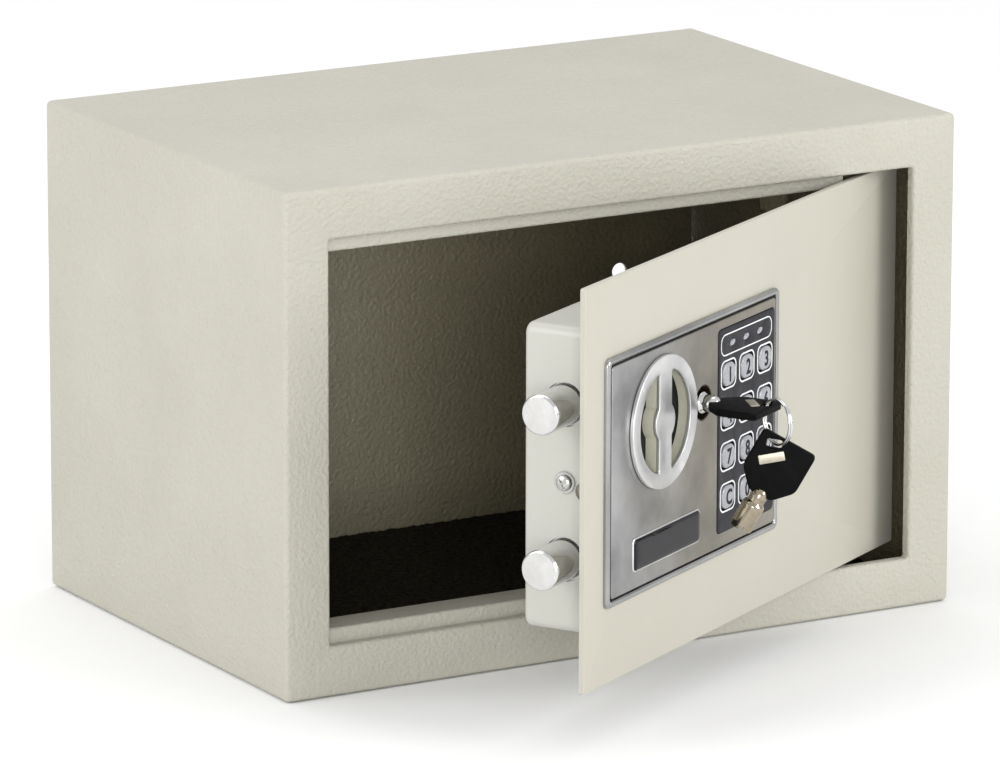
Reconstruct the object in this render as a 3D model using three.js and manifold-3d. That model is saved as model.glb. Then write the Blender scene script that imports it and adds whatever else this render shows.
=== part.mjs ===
// Electronic in-room safe: folded steel cabinet, swinging door with a keypad module,
// rotary handle driving two round bolts, override lock with two tubular keys.
// Millimetres, +Z up. The cabinet stands on z = 0, its front looks along -Y.
import * as THREE from 'three';
import { mergeVertices } from 'three/addons/utils/BufferGeometryUtils.js';
import Module from 'manifold-3d';

const wasm = await Module();
wasm.setup();

// ---------- driving dimensions ----------
const W = 310, D = 203, H = 205;            // cabinet outside
const SHEET = 1.5;                          // cabinet sheet thickness
const GAP = 0.3;                            // gap between pieces that touch
const OPEN_X = 135, OPEN_Z0 = 20.5, OPEN_Z1 = 184.5;   // door opening
const LEDGE = 4.6;                          // depth of the rebate that the door sits in
const STOP_H = 6, STOP_BACK = 19;           // stop flange height and depth of its return
const STOP_X0 = -135.4, STOP_X1 = 104;       // stop flange from end to end
const HINGE_X = 98, HINGE_Y = 27;           // hinge axis, measured from the front face
const DOOR_X0 = -133.3, DOOR_X1 = 131.5, DOOR_Z0 = 22.5, DOOR_Z1 = 182.5, DOOR_T = 2.4;
const DOOR_ANGLE = 30.75;                   // door angle at rest, degrees open
const CASE_X0 = -121.5, CASE_X1 = 84, CASE_Z0 = 42.5, CASE_Z1 = 163.5, CASE_Y1 = 33.5, CASE_T = 1.2;
const BOLT_R = 8, BOLT_END = -141.5, BOLT_LEN = 29.5, BOLT_Y = 15.5, BOLT_Z = [133.2, 71.8];
const PANEL_X = -47, PANEL_Z = 102.4, PANEL_W = 143, PANEL_H = 99;
const KNOB_X = -74.3, KNOB_Z = 118.4, KNOB_R = 26.5, WIN_R = 20.6, BAR = 5, BULGE = 7.9;
const LOCK_X = -40, LOCK_Z = 118.4;
const PAD_X = -3.9, PAD_Z = 103.4, PAD_W = 47.6, PAD_H = 82.3;
const KEY_PITCH_X = 15.45, KEY_PITCH_Z = 16.6, KEY_TOP_Z = 125.7;
const RING_R = 9, RING_X = -39.2, RING_Y = -33.9, RING_Z = 114.5;
const RING_DIR = -118.75;                   // heading of the ring's plane, degrees, door frame
const KEY2_HEADING = -155, KEY2_TILT = 29;   // second key: heading of its face and lean, degrees

// ---------- helpers ----------
const rad = THREE.MathUtils.degToRad;
function solid(geometry) {
  let g = geometry.index ? geometry.clone() : geometry.clone();
  for (const k of Object.keys(g.attributes)) if (k !== 'position') g.deleteAttribute(k);
  g = mergeVertices(g, 1e-5);
  return new wasm.Manifold(new wasm.Mesh({
    numProp: 3,
    vertProperties: new Float32Array(g.attributes.position.array),
    triVerts: new Uint32Array(g.index.array),
  }));
}
function geometryOf(m) {
  const mesh = m.getMesh();
  const g = new THREE.BufferGeometry();
  const n = mesh.numProp, src = mesh.vertProperties, p = new Float32Array(src.length / n * 3);
  for (let i = 0; i < src.length / n; i++) { p[3 * i] = src[n * i]; p[3 * i + 1] = src[n * i + 1]; p[3 * i + 2] = src[n * i + 2]; }
  g.setAttribute('position', new THREE.BufferAttribute(p, 3));
  g.setIndex(new THREE.BufferAttribute(new Uint32Array(mesh.triVerts), 1));
  g.computeVertexNormals();
  return g;
}
const cut = (a, ...bs) => geometryOf(bs.reduce((m, b) => m.subtract(solid(b)), solid(a)));
const join = (a, ...bs) => geometryOf(bs.reduce((m, b) => m.add(solid(b)), solid(a)));
const clip = (a, b) => geometryOf(solid(a).intersect(solid(b)));

function box(x0, x1, y0, y1, z0, z1) {
  const g = new THREE.BoxGeometry(x1 - x0, y1 - y0, z1 - z0);
  g.translate((x0 + x1) / 2, (y0 + y1) / 2, (z0 + z1) / 2);
  return g;
}
// outline in X and Z, extruded along Y (depth) from y0 to y1
function plate(shape, y0, y1, seg = 4) {
  const g = new THREE.ExtrudeGeometry(shape, { depth: y1 - y0, bevelEnabled: false, curveSegments: seg });
  g.rotateX(Math.PI / 2);            // shape y -> z, extrusion z -> -y
  g.translate(0, y1, 0);
  return g;
}
// outline in X and Y, extruded along Z from z0 to z1
function slab(shape, z0, z1, seg = 4) {
  const g = new THREE.ExtrudeGeometry(shape, { depth: z1 - z0, bevelEnabled: false, curveSegments: seg });
  g.translate(0, 0, z0);
  return g;
}
function rounded(x0, x1, z0, z1, r, path = new THREE.Shape()) {
  path.moveTo(x0 + r, z0);
  path.lineTo(x1 - r, z0); path.absarc(x1 - r, z0 + r, r, -Math.PI / 2, 0, false);
  path.lineTo(x1, z1 - r); path.absarc(x1 - r, z1 - r, r, 0, Math.PI / 2, false);
  path.lineTo(x0 + r, z1); path.absarc(x0 + r, z1 - r, r, Math.PI / 2, Math.PI, false);
  path.lineTo(x0, z0 + r); path.absarc(x0 + r, z0 + r, r, Math.PI, 1.5 * Math.PI, false);
  return path;
}
function ringOf(outer, ...holes) { outer.holes.push(...holes); return outer; }
const hole = (x0, x1, z0, z1, r) => rounded(x0, x1, z0, z1, r, new THREE.Path());
function rodY(x, z, r, y0, y1, seg = 24) {
  const g = new THREE.CylinderGeometry(r, r, y1 - y0, seg);
  g.translate(x, (y0 + y1) / 2, z);
  return g;
}
function rodX(y, z, r, x0, x1, seg = 24) {
  const g = new THREE.CylinderGeometry(r, r, x1 - x0, seg);
  g.rotateZ(-Math.PI / 2);
  g.translate((x0 + x1) / 2, y, z);
  return g;
}
function rodZ(x, y, r, z0, z1, seg = 20) {
  const g = new THREE.CylinderGeometry(r, r, z1 - z0, seg);
  g.rotateX(Math.PI / 2);
  g.translate(x, y, (z0 + z1) / 2);
  return g;
}
// turned part about the Y axis: profile is [radius, y] pairs
function turnedY(x, z, profile, seg = 28) {
  const g = new THREE.LatheGeometry(profile.map(([r, y]) => new THREE.Vector2(r, y)), seg);
  g.translate(x, 0, z);
  return g;
}
const paint = (color, roughness, metalness) => ({ color, roughness, metalness });
const CREAM = paint(0xd8d6ca, 0.55, 0.0), CREAM_SMOOTH = paint(0xdcdacd, 0.4, 0.0), STEEL = paint(0xb8b8b4, 0.35, 0.9),
  CHROME = paint(0xdcdcdc, 0.12, 1.0), SILVER = paint(0x9fa1a3, 0.35, 0.6), BLACK = paint(0x141414, 0.4, 0.0),
  CHARCOAL = paint(0x34343c, 0.5, 0.0), GREY = paint(0xb5b6ba, 0.4, 0.2), FELT = paint(0x16140f, 0.95, 0.0),
  GREEN = paint(0x1f5a33, 0.5, 0.0), BRASS = paint(0xb9a887, 0.25, 0.9), RED = paint(0xb0281e, 0.4, 0.0),
  BEIGE = paint(0xc9c7b4, 0.5, 0.0), COPPER = paint(0x9c5a34, 0.4, 0.6);

function mesh(name, geometry, look) {
  const m = new THREE.Mesh(geometry, new THREE.MeshStandardMaterial({ ...look }));
  m.name = name;
  return m;
}
const mirrorZ = (g) => {                       // mirrored about the door's mid height
  const c = g.clone(); c.applyMatrix4(new THREE.Matrix4().makeScale(1, 1, -1)); c.translate(0, 0, H);
  const i = c.index ? c.index.array : null;
  if (i) for (let k = 0; k < i.length; k += 3) { const t = i[k]; i[k] = i[k + 1]; i[k + 1] = t; }
  c.computeVertexNormals();
  return c;
};

// ---------- cabinet (origin: middle of the front face's foot) ----------
const cabinet = new THREE.Group();
cabinet.position.set(0, -D / 2, 0);

const shellShape = ringOf(rounded(-W / 2, W / 2, 0, H, 2), hole(-W / 2 + SHEET, W / 2 - SHEET, SHEET, H - SHEET, 0.7));
cabinet.add(mesh('body_shell', plate(shellShape, SHEET + GAP, D, 3), CREAM));

const rearShape = rounded(-W / 2 + SHEET + GAP, W / 2 - SHEET - GAP, SHEET + GAP, H - SHEET - GAP, 0.8);
cabinet.add(mesh('rear_panel', cut(plate(rearShape, D - 1.8, D - 0.3, 2),
  rodY(-117, 103, 3.5, D - 5, D + 5, 20), rodY(117, 103, 3.5, D - 5, D + 5, 20)), CREAM));

{
  const face = plate(ringOf(rounded(-W / 2, W / 2, 0, H, 2), hole(-OPEN_X, OPEN_X, OPEN_Z0, OPEN_Z1, 0.5)), 0, SHEET, 3);
  const lip = plate(ringOf(rounded(-OPEN_X - SHEET, OPEN_X + SHEET, OPEN_Z0 - SHEET, OPEN_Z1 + SHEET, 1.6),
    hole(-OPEN_X, OPEN_X, OPEN_Z0, OPEN_Z1, 0.5)), SHEET - 0.5, LEDGE - 0.3, 3);
  const stop = [
    box(STOP_X0, STOP_X1, LEDGE - 0.8, LEDGE + SHEET, OPEN_Z1, OPEN_Z1 + SHEET),
    box(STOP_X0, STOP_X1, LEDGE, LEDGE + SHEET, OPEN_Z1 - STOP_H, OPEN_Z1 + 0.5),
    box(STOP_X0, STOP_X1, LEDGE + 0.5, STOP_BACK, OPEN_Z1 - STOP_H, OPEN_Z1 - STOP_H + SHEET),
    box(STOP_X0, STOP_X1, LEDGE - 0.8, LEDGE + SHEET, OPEN_Z0 - SHEET, OPEN_Z0),
    box(STOP_X0, STOP_X1, LEDGE, LEDGE + SHEET, OPEN_Z0 - 0.5, OPEN_Z0 + STOP_H),
    box(STOP_X0, STOP_X1, LEDGE + 0.5, STOP_BACK, OPEN_Z0 + STOP_H - SHEET, OPEN_Z0 + STOP_H),
  ];
  cabinet.add(mesh('front_frame', join(face, lip, ...stop), CREAM));
}
cabinet.add(mesh('floor_mat', slab(rounded(-151, 151, 40, 200, 3), SHEET + GAP, SHEET + GAP + 2.6, 3), FELT));

const bracketTop = cut(join(
  box(86, 108, 21, 39, 164.5, 166.5),
  box(86, 88, 21, 39, 165, H - SHEET - GAP),
  box(66, 87, 21, 39, H - SHEET - GAP - 2, H - SHEET - GAP)),
  rodZ(HINGE_X, HINGE_Y, 3.3, 160, 170));
cabinet.add(mesh('hinge_bracket_top', bracketTop, CREAM));
cabinet.add(mesh('hinge_bracket_bottom', mirrorZ(bracketTop), CREAM));
const pinTop = join(rodZ(HINGE_X, HINGE_Y, 3, 158.5, 167.2), rodZ(HINGE_X, HINGE_Y, 4.5, 166.8, 168.8));
cabinet.add(mesh('hinge_pin_top', pinTop, STEEL));
cabinet.add(mesh('hinge_pin_bottom', mirrorZ(pinTop), STEEL));

// ---------- door (drawn shut, then turned about the hinge) ----------
const hinge = new THREE.Group();
hinge.position.set(HINGE_X, HINGE_Y, 0);
hinge.rotation.z = rad(DOOR_ANGLE);
cabinet.add(hinge);
const door = new THREE.Group();
door.position.set(-HINGE_X, -HINGE_Y, 0);
hinge.add(door);

{
  const sheet = cut(plate(rounded(DOOR_X0, DOOR_X1, DOOR_Z0, DOOR_Z1, 0.8), 0, DOOR_T, 2),
    rodY(KNOB_X, KNOB_Z, 24, -5, 5, 32), rodY(LOCK_X, LOCK_Z, 7.5, -5, 5, 20),
    plate(rounded(-26, 18.5, 64, 143, 1.5), -5, 5, 2));
  const lug = cut(box(-119.9, -118.2, DOOR_T - 0.5, 21, 96, 109), rodX(15, 102.5, 2, -125, -110, 12));
  door.add(mesh('door_plate', join(sheet, lug), CREAM_SMOOTH));
}
{
  const outer = plate(rounded(CASE_X0, CASE_X1, CASE_Z0, CASE_Z1, 4), DOOR_T + GAP, CASE_Y1, 4);
  const inner = plate(rounded(CASE_X0 + CASE_T, CASE_X1 - CASE_T, CASE_Z0 + CASE_T, CASE_Z1 - CASE_T, 2.8), -5, CASE_Y1 - CASE_T, 4);
  door.add(mesh('door_case', cut(outer, inner,
    rodX(BOLT_Y, BOLT_Z[0], 8.8, CASE_X0 - 5, CASE_X0 + 5, 32), rodX(BOLT_Y, BOLT_Z[1], 8.8, CASE_X0 - 5, CASE_X0 + 5, 32),
    rodX(15, 102.5, 2.3, CASE_X0 - 5, CASE_X0 + 5, 12), rodX(6.8, 99.5, 3.9, CASE_X0 - 5, CASE_X0 + 5, 16),
    plate(rounded(8, 66, 70, 135, 2), 28, 40, 2), rodY(74, 150, 3.1, 28, 40, 16)), CREAM_SMOOTH));
}
const earTop = cut(join(
  slab(rounded(88, 108, DOOR_T + GAP, 34, 4), 160, 163, 4),
  box(88, 108, DOOR_T + GAP, DOOR_T + GAP + 2, 138, 161)),
  rodZ(HINGE_X, HINGE_Y, 3.4, 150, 170));
door.add(mesh('hinge_ear_top', earTop, STEEL));
door.add(mesh('hinge_ear_bottom', mirrorZ(earTop), STEEL));

// battery compartment on the inside of the door
door.add(mesh('battery_tray', cut(box(6, 68, 14, 32, 68, 137), box(7.2, 66.8, 15.2, 40, 69.2, 135.8)), BLACK));
for (let i = 0; i < 4; i++) {
  const z = 79.25 + 15.5 * i, y = 23.2, s = i % 2 ? 1 : -1, xa = 11, xb = 61.2;
  const body = rodX(y, z, 7.1, xa, xb, 20), nub = s > 0 ? rodX(y, z, 2.6, xb - 0.5, xb + 1.3, 12) : rodX(y, z, 2.6, xa - 1.3, xa + 0.5, 12);
  door.add(mesh(`battery_${i + 1}`, join(body, nub), COPPER));
}
door.add(mesh('battery_cover', join(plate(rounded(5, 69, 66.5, 138.5, 3), CASE_Y1 + GAP, CASE_Y1 + GAP + 1.4, 3),
  box(27, 47, CASE_Y1 + 1, CASE_Y1 + 2.4, 130, 131.2), box(27, 47, CASE_Y1 + 1, CASE_Y1 + 2.4, 126.5, 127.7), box(27, 47, CASE_Y1 + 1, CASE_Y1 + 2.4, 133.5, 134.7)), CREAM_SMOOTH));
door.add(mesh('reset_button', turnedY(74, 150, [[0, 24], [2.6, 24], [2.6, 34.6], [2.2, 35.1], [0, 35.3]], 16), RED));

// electronics
door.add(mesh('circuit_board', join(box(-27.6, 27.5, 4.4, 6, 62, 146), box(-10, 4, 5.8, 8, 84, 98), box(8, 16, 5.8, 9, 112, 128), box(-22, -16, 5.8, 10, 66, 76)), GREEN));
{
  const x = -74, y = 24.6;
  door.add(mesh('solenoid_body', cut(join(box(-84, -64, 17, 31.9, 62, 84), box(-81, -67, 19, 30, 83, 86)), rodZ(x, y, 2.9, 64, 90, 16)), STEEL));
  door.add(mesh('solenoid_plunger', turnedPlunger(x, y), CHROME));
}
function turnedPlunger(x, y) {
  return join(rodZ(x, y, 2.5, 66, 88.6, 16), rodZ(x, y, 2.0, 88, 91.5, 16));
}

// outer module: bezel, face, keypad, lamps, badge
const PX0 = PANEL_X - PANEL_W / 2, PX1 = PANEL_X + PANEL_W / 2, PZ0 = PANEL_Z - PANEL_H / 2, PZ1 = PANEL_Z + PANEL_H / 2;
door.add(mesh('panel_bezel', plate(ringOf(rounded(PX0, PX1, PZ0, PZ1, 3), hole(PX0 + 2.8, PX1 - 2.8, PZ0 + 2.8, PZ1 - 2.8, 1.8)), -2.1, -GAP, 4), CHROME));
door.add(mesh('panel_face', cut(plate(rounded(PX0 + 3.2, PX1 - 3.2, PZ0 + 3.2, PZ1 - 3.2, 1.4), -1.8, -GAP, 3),
  rodY(KNOB_X, KNOB_Z, 24.2, -5, 5, 40), rodY(LOCK_X, LOCK_Z, 7.1, -5, 5, 24),
  box(PAD_X - PAD_W / 2 - GAP, PAD_X + PAD_W / 2 + GAP, -5, 5, PAD_Z - PAD_H / 2 - GAP, PAD_Z + PAD_H / 2 + GAP)), SILVER));

const keys = ['1', '2', '3', '4', '5', '6', '7', '8', '9', 'clear', '0', 'enter'];
const keyAt = (i) => [PAD_X - 0.1 + KEY_PITCH_X * (i % 3 - 1), KEY_TOP_Z - KEY_PITCH_Z * Math.floor(i / 3)];
const lampX = [-16.2, -4.6, 7.0], LAMP_Z = 137.8;
{
  const shape = rounded(PAD_X - PAD_W / 2, PAD_X + PAD_W / 2, PAD_Z - PAD_H / 2, PAD_Z + PAD_H / 2, 1.5);
  keys.forEach((k, i) => { const [x, z] = keyAt(i); shape.holes.push(hole(x - 5.5, x + 5.5, z - 4.95, z + 4.95, 2.2)); });
  lampX.forEach((x) => { const h = new THREE.Path(); h.absarc(x, LAMP_Z, 1.8, 0, 2 * Math.PI, false); shape.holes.push(h); });
  door.add(mesh('keypad_membrane', plate(shape, -2.0, -0.5, 3), CHARCOAL));
}
keys.forEach((k, i) => {
  const [x, z] = keyAt(i);
  const stem = plate(rounded(x - 5.2, x + 5.2, z - 4.65, z + 4.65, 2), -2.3, 2.0, 2);
  const crown = plate(rounded(x - 4.4, x + 4.4, z - 3.85, z + 3.85, 2), -2.9, -2.2, 2);
  door.add(mesh(`button_${k}`, join(stem, crown), GREY));
});
lampX.forEach((x, i) => door.add(mesh(`lamp_${['left', 'middle', 'right'][i]}`, turnedY(x, LAMP_Z, [[0, -2.5], [1.0, -2.35], [1.45, -1.9], [1.45, 1.6], [0, 1.6]], 12), GREY)));
door.add(mesh('name_badge', plate(rounded(-98.1, -43.1, 63.1, 76.5, 1.5), -2.9, -2.1, 3), BLACK));

// rotary handle: face with two finger windows, cup with a grip bar, spindle and cam
function windowPath(side, r, bar, bulge, Kind = THREE.Path) {
  // half window on one side of the grip bar, as points
  const pts = [], n = 12, a0 = Math.acos(bar / r), b0 = Math.acos(Math.min(1, bar / bulge));
  for (let i = 0; i <= n; i++) { const a = -a0 + 2 * a0 * i / n; pts.push([r * Math.cos(a), r * Math.sin(a)]); }
  for (let i = 0; i <= 6; i++) { const a = b0 - 2 * b0 * i / 6; pts.push([bulge * Math.cos(a), bulge * Math.sin(a)]); }
  const p = new Kind();
  const list = side > 0 ? pts : pts.map(([x, y]) => [-x, y]).reverse();
  list.forEach(([x, y], i) => i ? p.lineTo(KNOB_X + x, KNOB_Z + y) : p.moveTo(KNOB_X + x, KNOB_Z + y));
  p.closePath();
  return p;
}
{
  const disc = new THREE.Shape(); disc.absarc(KNOB_X, KNOB_Z, KNOB_R, 0, 2 * Math.PI, false);
  disc.holes.push(windowPath(1, WIN_R, BAR, BULGE), windowPath(-1, WIN_R, BAR, BULGE));
  door.add(mesh('knob_face', plate(disc, -3.9, -2.2, 20), SILVER));
  const cup = turnedY(KNOB_X, KNOB_Z, [[0, 6.4], [21.4, 6.4], [21.4, -1.9], [23, -1.9], [23, 8], [0, 8]], 40);
  const web = new THREE.Shape(), r = 21.9, b = BAR - 0.3, g = BULGE - 0.3, a0 = Math.acos(b / r), b0 = Math.acos(b / g), pts = [];
  for (let i = 0; i <= 4; i++) { const a = a0 + (Math.PI - 2 * a0) * i / 4; pts.push([r * Math.cos(a), r * Math.sin(a)]); }
  for (let i = 0; i <= 6; i++) { const a = Math.PI - b0 + 2 * b0 * i / 6; pts.push([g * Math.cos(a), g * Math.sin(a)]); }
  const full = pts.concat(pts.map(([x, y]) => [-x, -y]));
  full.forEach(([x, y], i) => i ? web.lineTo(KNOB_X + x, KNOB_Z + y) : web.moveTo(KNOB_X + x, KNOB_Z + y));
  web.closePath();
  door.add(mesh('knob_cup', join(cup, plate(web, -1.9, 7, 1)), BEIGE));
  door.add(mesh('knob_spindle', rodY(KNOB_X, KNOB_Z, 4, 8.3, 18.6, 20), STEEL));
  const px = KNOB_X - 6, pz = KNOB_Z + 6;
  door.add(mesh('knob_cam', join(rodY(KNOB_X, KNOB_Z, 6, 18.9, 21, 24),
    plate(new THREE.Shape([[-6.5, 1], [-1, 6.5], [-4.2, 9.6], [-9.6, 4.2]].map(([x, z]) => new THREE.Vector2(KNOB_X + x, KNOB_Z + z))), 18.9, 21, 1),
    rodY(px, pz, 2, 20, 27, 16)), STEEL));
}

// bolt work
{
  const c = 0.9, names = ['upper_bolt', 'lower_bolt'];
  names.forEach((n, i) => {
    const g = new THREE.LatheGeometry([[0, 0], [BOLT_R - c, 0], [BOLT_R, c], [BOLT_R, BOLT_LEN], [0, BOLT_LEN]].map(([r, y]) => new THREE.Vector2(r, y)), 32);
    g.rotateZ(-Math.PI / 2);             // turned axis +Y -> +X
    g.translate(BOLT_END, BOLT_Y, BOLT_Z[i]);
    door.add(mesh(n, g, CHROME));
  });
  const bar = join(
    plate(rounded(-119.5, -106, 61, 144, 2), 23.8, 25.4, 2),
    plate(rounded(-110, -62, 92, 132, 2), 23.8, 25.4, 2));
  const slotX = KNOB_X - 6;
  door.add(mesh('bolt_carrier', cut(bar,
    plate(rounded(slotX - 2.8, slotX + 2.8, KNOB_Z + 6 - 2.8, KNOB_Z + 8.49 + 2.8, 1.5), 20, 30, 2),
    box(-77.2, -70.8, 20, 30, 90, 96.4), box(-89.2, -82.8, 20, 30, 90, 96.4),
    plate(rounded(-100, -88, 104, 122, 3), 20, 30, 2)), STEEL));
}

// override lock and the key standing in it
door.add(mesh('lock_body', turnedY(LOCK_X, LOCK_Z, [[5.0, -1.2], [6.7, -1.2], [6.7, 16], [5.0, 16], [5.0, -1.2]], 28), CHROME));
door.add(mesh('lock_plug', turnedY(LOCK_X, LOCK_Z, [[0, 0.2], [2.5, 0.2], [2.8, 0.6], [2.8, 9.8], [4.6, 9.8], [4.6, 17.5], [0, 17.5]], 20), BRASS));
{
  const hex = new THREE.Shape(); for (let i = 0; i < 6; i++) { const a = Math.PI / 3 * i; hex[i ? 'lineTo' : 'moveTo'](LOCK_X + 10 * Math.cos(a), LOCK_Z + 10 * Math.sin(a)); } hex.closePath();
  const h = new THREE.Path(); h.absarc(LOCK_X, LOCK_Z, 7.05, 0, 2 * Math.PI, false); hex.holes.push(h);
  door.add(mesh('lock_nut', plate(hex, 2.8, 6, 12), STEEL));
  door.add(mesh('lock_cam', join(rodY(LOCK_X, LOCK_Z, 5, 17.8, 19.2, 20), plate(rounded(LOCK_X - 3, LOCK_X + 3, LOCK_Z - 15, LOCK_Z, 2), 17.8, 19.2, 3)), STEEL));
}
// key: head outline in X and Y with its shaft end at y = 0 and its ring end at y = -24.5, shaft towards +Y
function keyHead() {
  const s = new THREE.Shape(), P = [[-4.8, 0], [-11.7, -7.5], [-11.7, -24.5], [11.7, -24.5], [11.7, -7.5], [4.8, 0]], r = 1.6;
  P.forEach((p, i) => {
    const a = P[(i + P.length - 1) % P.length], b = P[(i + 1) % P.length];
    const da = Math.hypot(a[0] - p[0], a[1] - p[1]), db = Math.hypot(b[0] - p[0], b[1] - p[1]);
    const s0 = [p[0] + (a[0] - p[0]) * r / da, p[1] + (a[1] - p[1]) * r / da], s1 = [p[0] + (b[0] - p[0]) * r / db, p[1] + (b[1] - p[1]) * r / db];
    if (i) s.lineTo(...s0); else s.moveTo(...s0);
    s.quadraticCurveTo(p[0], p[1], ...s1);
  });
  s.closePath();
  s.holes.push(hole(-6.5, 6.5, -23.0, -18.3, 1));
  return slab(s, -1.2, 1.2, 3);
}
const keyShaft = () => turnedY(0, 0, [[0, 0.3], [3.4, 0.3], [3.4, 3.2], [4.6, 4.4], [4.6, 15.2], [3.2, 15.2], [3.2, 5.2], [0, 5.2]], 24);
const key1 = new THREE.Group();
key1.position.set(LOCK_X, -6, LOCK_Z);
key1.add(mesh('key_1_head', keyHead(), BLACK), mesh('key_1_shaft', keyShaft(), CHROME));
door.add(key1);

// split ring through the first key's slot
{
  const prof = [[RING_R - 0.6, -0.7], [RING_R - 0.35, -1.0], [RING_R + 0.35, -1.0], [RING_R + 0.6, -0.7], [RING_R + 0.6, 0.7], [RING_R + 0.35, 1.0], [RING_R - 0.35, 1.0], [RING_R - 0.6, 0.7], [RING_R - 0.6, -0.7]];
  const g = new THREE.LatheGeometry(prof.map(([r, y]) => new THREE.Vector2(r, y)), 36);   // axis along Y
  const ring = mesh('key_ring', g, CHROME);
  ring.position.set(RING_X, RING_Y, RING_Z);
  ring.rotation.z = rad(RING_DIR);         // ring plane (X, Z) turned so that it runs along the heading
  door.add(ring);
}
// second key hanging on the ring by a corner of its slot
{
  const hang = new THREE.Group();
  hang.position.set(RING_X, RING_Y, RING_Z - RING_R);
  hang.rotation.z = rad(KEY2_HEADING + 90);        // local X runs to the right in the face of the key, local -Y is its outward side
  const lean = new THREE.Group();
  lean.rotation.y = rad(KEY2_TILT);                // leans in its own plane
  hang.add(lean);
  const k = new THREE.Group();
  k.rotation.x = -Math.PI / 2;                     // key axis: shaft (+Y) -> down (-Z)
  k.position.set(4.0, 0, -21.1);
  lean.add(k);
  k.add(mesh('key_2_head', keyHead(), BLACK), mesh('key_2_shaft', keyShaft(), BRASS));
  door.add(hang);
}

// screw and washer on the bolt side of the inner case
door.add(mesh('case_washer', (() => { const s = new THREE.LatheGeometry([[2.4, 0], [4.3, 0], [4.3, 0.8], [2.4, 0.8], [2.4, 0]].map(([r, y]) => new THREE.Vector2(r, y)), 20); s.rotateZ(-Math.PI / 2); s.translate(-122.6, 15, 102.5); return s; })(), STEEL));
door.add(mesh('case_screw', (() => { const s = new THREE.LatheGeometry([[0, 0], [2.2, 0], [3.0, 0.5], [3.2, 1.2], [3.2, 1.9], [1.7, 1.9], [1.7, 12], [0, 12]].map(([r, y]) => new THREE.Vector2(r, y)), 16); s.rotateZ(-Math.PI / 2); s.translate(-124.8, 15, 102.5); return s; })(), STEEL));

const group = new THREE.Group();
group.add(cabinet);
export default group;
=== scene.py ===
import bpy, bmesh, math
from mathutils import Matrix, Vector, noise


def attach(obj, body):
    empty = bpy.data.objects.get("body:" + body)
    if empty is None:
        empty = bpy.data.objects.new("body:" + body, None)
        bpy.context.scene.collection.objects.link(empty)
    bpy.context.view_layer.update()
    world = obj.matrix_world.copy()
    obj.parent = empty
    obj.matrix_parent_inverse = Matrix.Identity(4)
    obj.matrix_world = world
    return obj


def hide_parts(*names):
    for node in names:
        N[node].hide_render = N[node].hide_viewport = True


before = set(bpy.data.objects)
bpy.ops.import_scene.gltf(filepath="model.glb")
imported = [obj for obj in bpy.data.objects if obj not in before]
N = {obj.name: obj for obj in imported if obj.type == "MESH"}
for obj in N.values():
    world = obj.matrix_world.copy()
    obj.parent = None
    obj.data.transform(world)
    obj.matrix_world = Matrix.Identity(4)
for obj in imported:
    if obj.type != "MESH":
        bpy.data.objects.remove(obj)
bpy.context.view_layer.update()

MM = 0.001
PHI = math.radians(30.75)
HX, HY = 98.0, 27.0
CAB = Matrix.Translation((0, -101.5, 0))
DOOR = CAB @ Matrix.Translation((HX, HY, 0)) @ Matrix.Rotation(PHI, 4, "Z") @ Matrix.Translation((-HX, -HY, 0))
FACE = Matrix(((1, 0, 0, 0), (0, 0, -1, 0), (0, 1, 0, 0), (0, 0, 0, 1)))   # drawing plane -> front face, +w outwards
SCALE = Matrix.Scale(MM, 4)

# ------------------------------------------------------------------ materials
def nodes_of(name):
    m = bpy.data.materials.new(name)
    m.use_nodes = True
    nt = m.node_tree
    return m, nt, nt.nodes["Principled BSDF"]


def ramp(nt, src, a, b, ca, cb):
    r = nt.nodes.new("ShaderNodeValToRGB")
    r.color_ramp.elements[0].position, r.color_ramp.elements[1].position = a, b
    r.color_ramp.elements[0].color = (*ca, 1)
    r.color_ramp.elements[1].color = (*cb, 1)
    nt.links.new(src, r.inputs[0])
    return r.outputs[0]


def noise_tex(nt, scale, detail=2.0, rough=0.5, stretch=None):
    t = nt.nodes.new("ShaderNodeTexCoord")
    src = t.outputs["Object"]
    if stretch:
        mp = nt.nodes.new("ShaderNodeMapping")
        mp.inputs["Scale"].default_value = stretch
        nt.links.new(src, mp.inputs[0])
        src = mp.outputs[0]
    n = nt.nodes.new("ShaderNodeTexNoise")
    n.inputs["Scale"].default_value = scale
    n.inputs["Detail"].default_value = detail
    n.inputs["Roughness"].default_value = rough
    nt.links.new(src, n.inputs["Vector"])
    return n.outputs["Fac"]


def remap(nt, src, lo, hi):
    r = nt.nodes.new("ShaderNodeMapRange")
    r.inputs["From Min"].default_value, r.inputs["From Max"].default_value = 0.3, 0.7
    r.inputs["To Min"].default_value, r.inputs["To Max"].default_value = lo, hi
    nt.links.new(src, r.inputs[0])
    return r.outputs[0]


def bump(nt, src, strength, dist, prev=None):
    b = nt.nodes.new("ShaderNodeBump")
    b.inputs["Strength"].default_value = strength
    b.inputs["Distance"].default_value = dist
    nt.links.new(src, b.inputs["Height"])
    if prev is not None:
        nt.links.new(prev, b.inputs["Normal"])
    return b.outputs[0]


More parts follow.
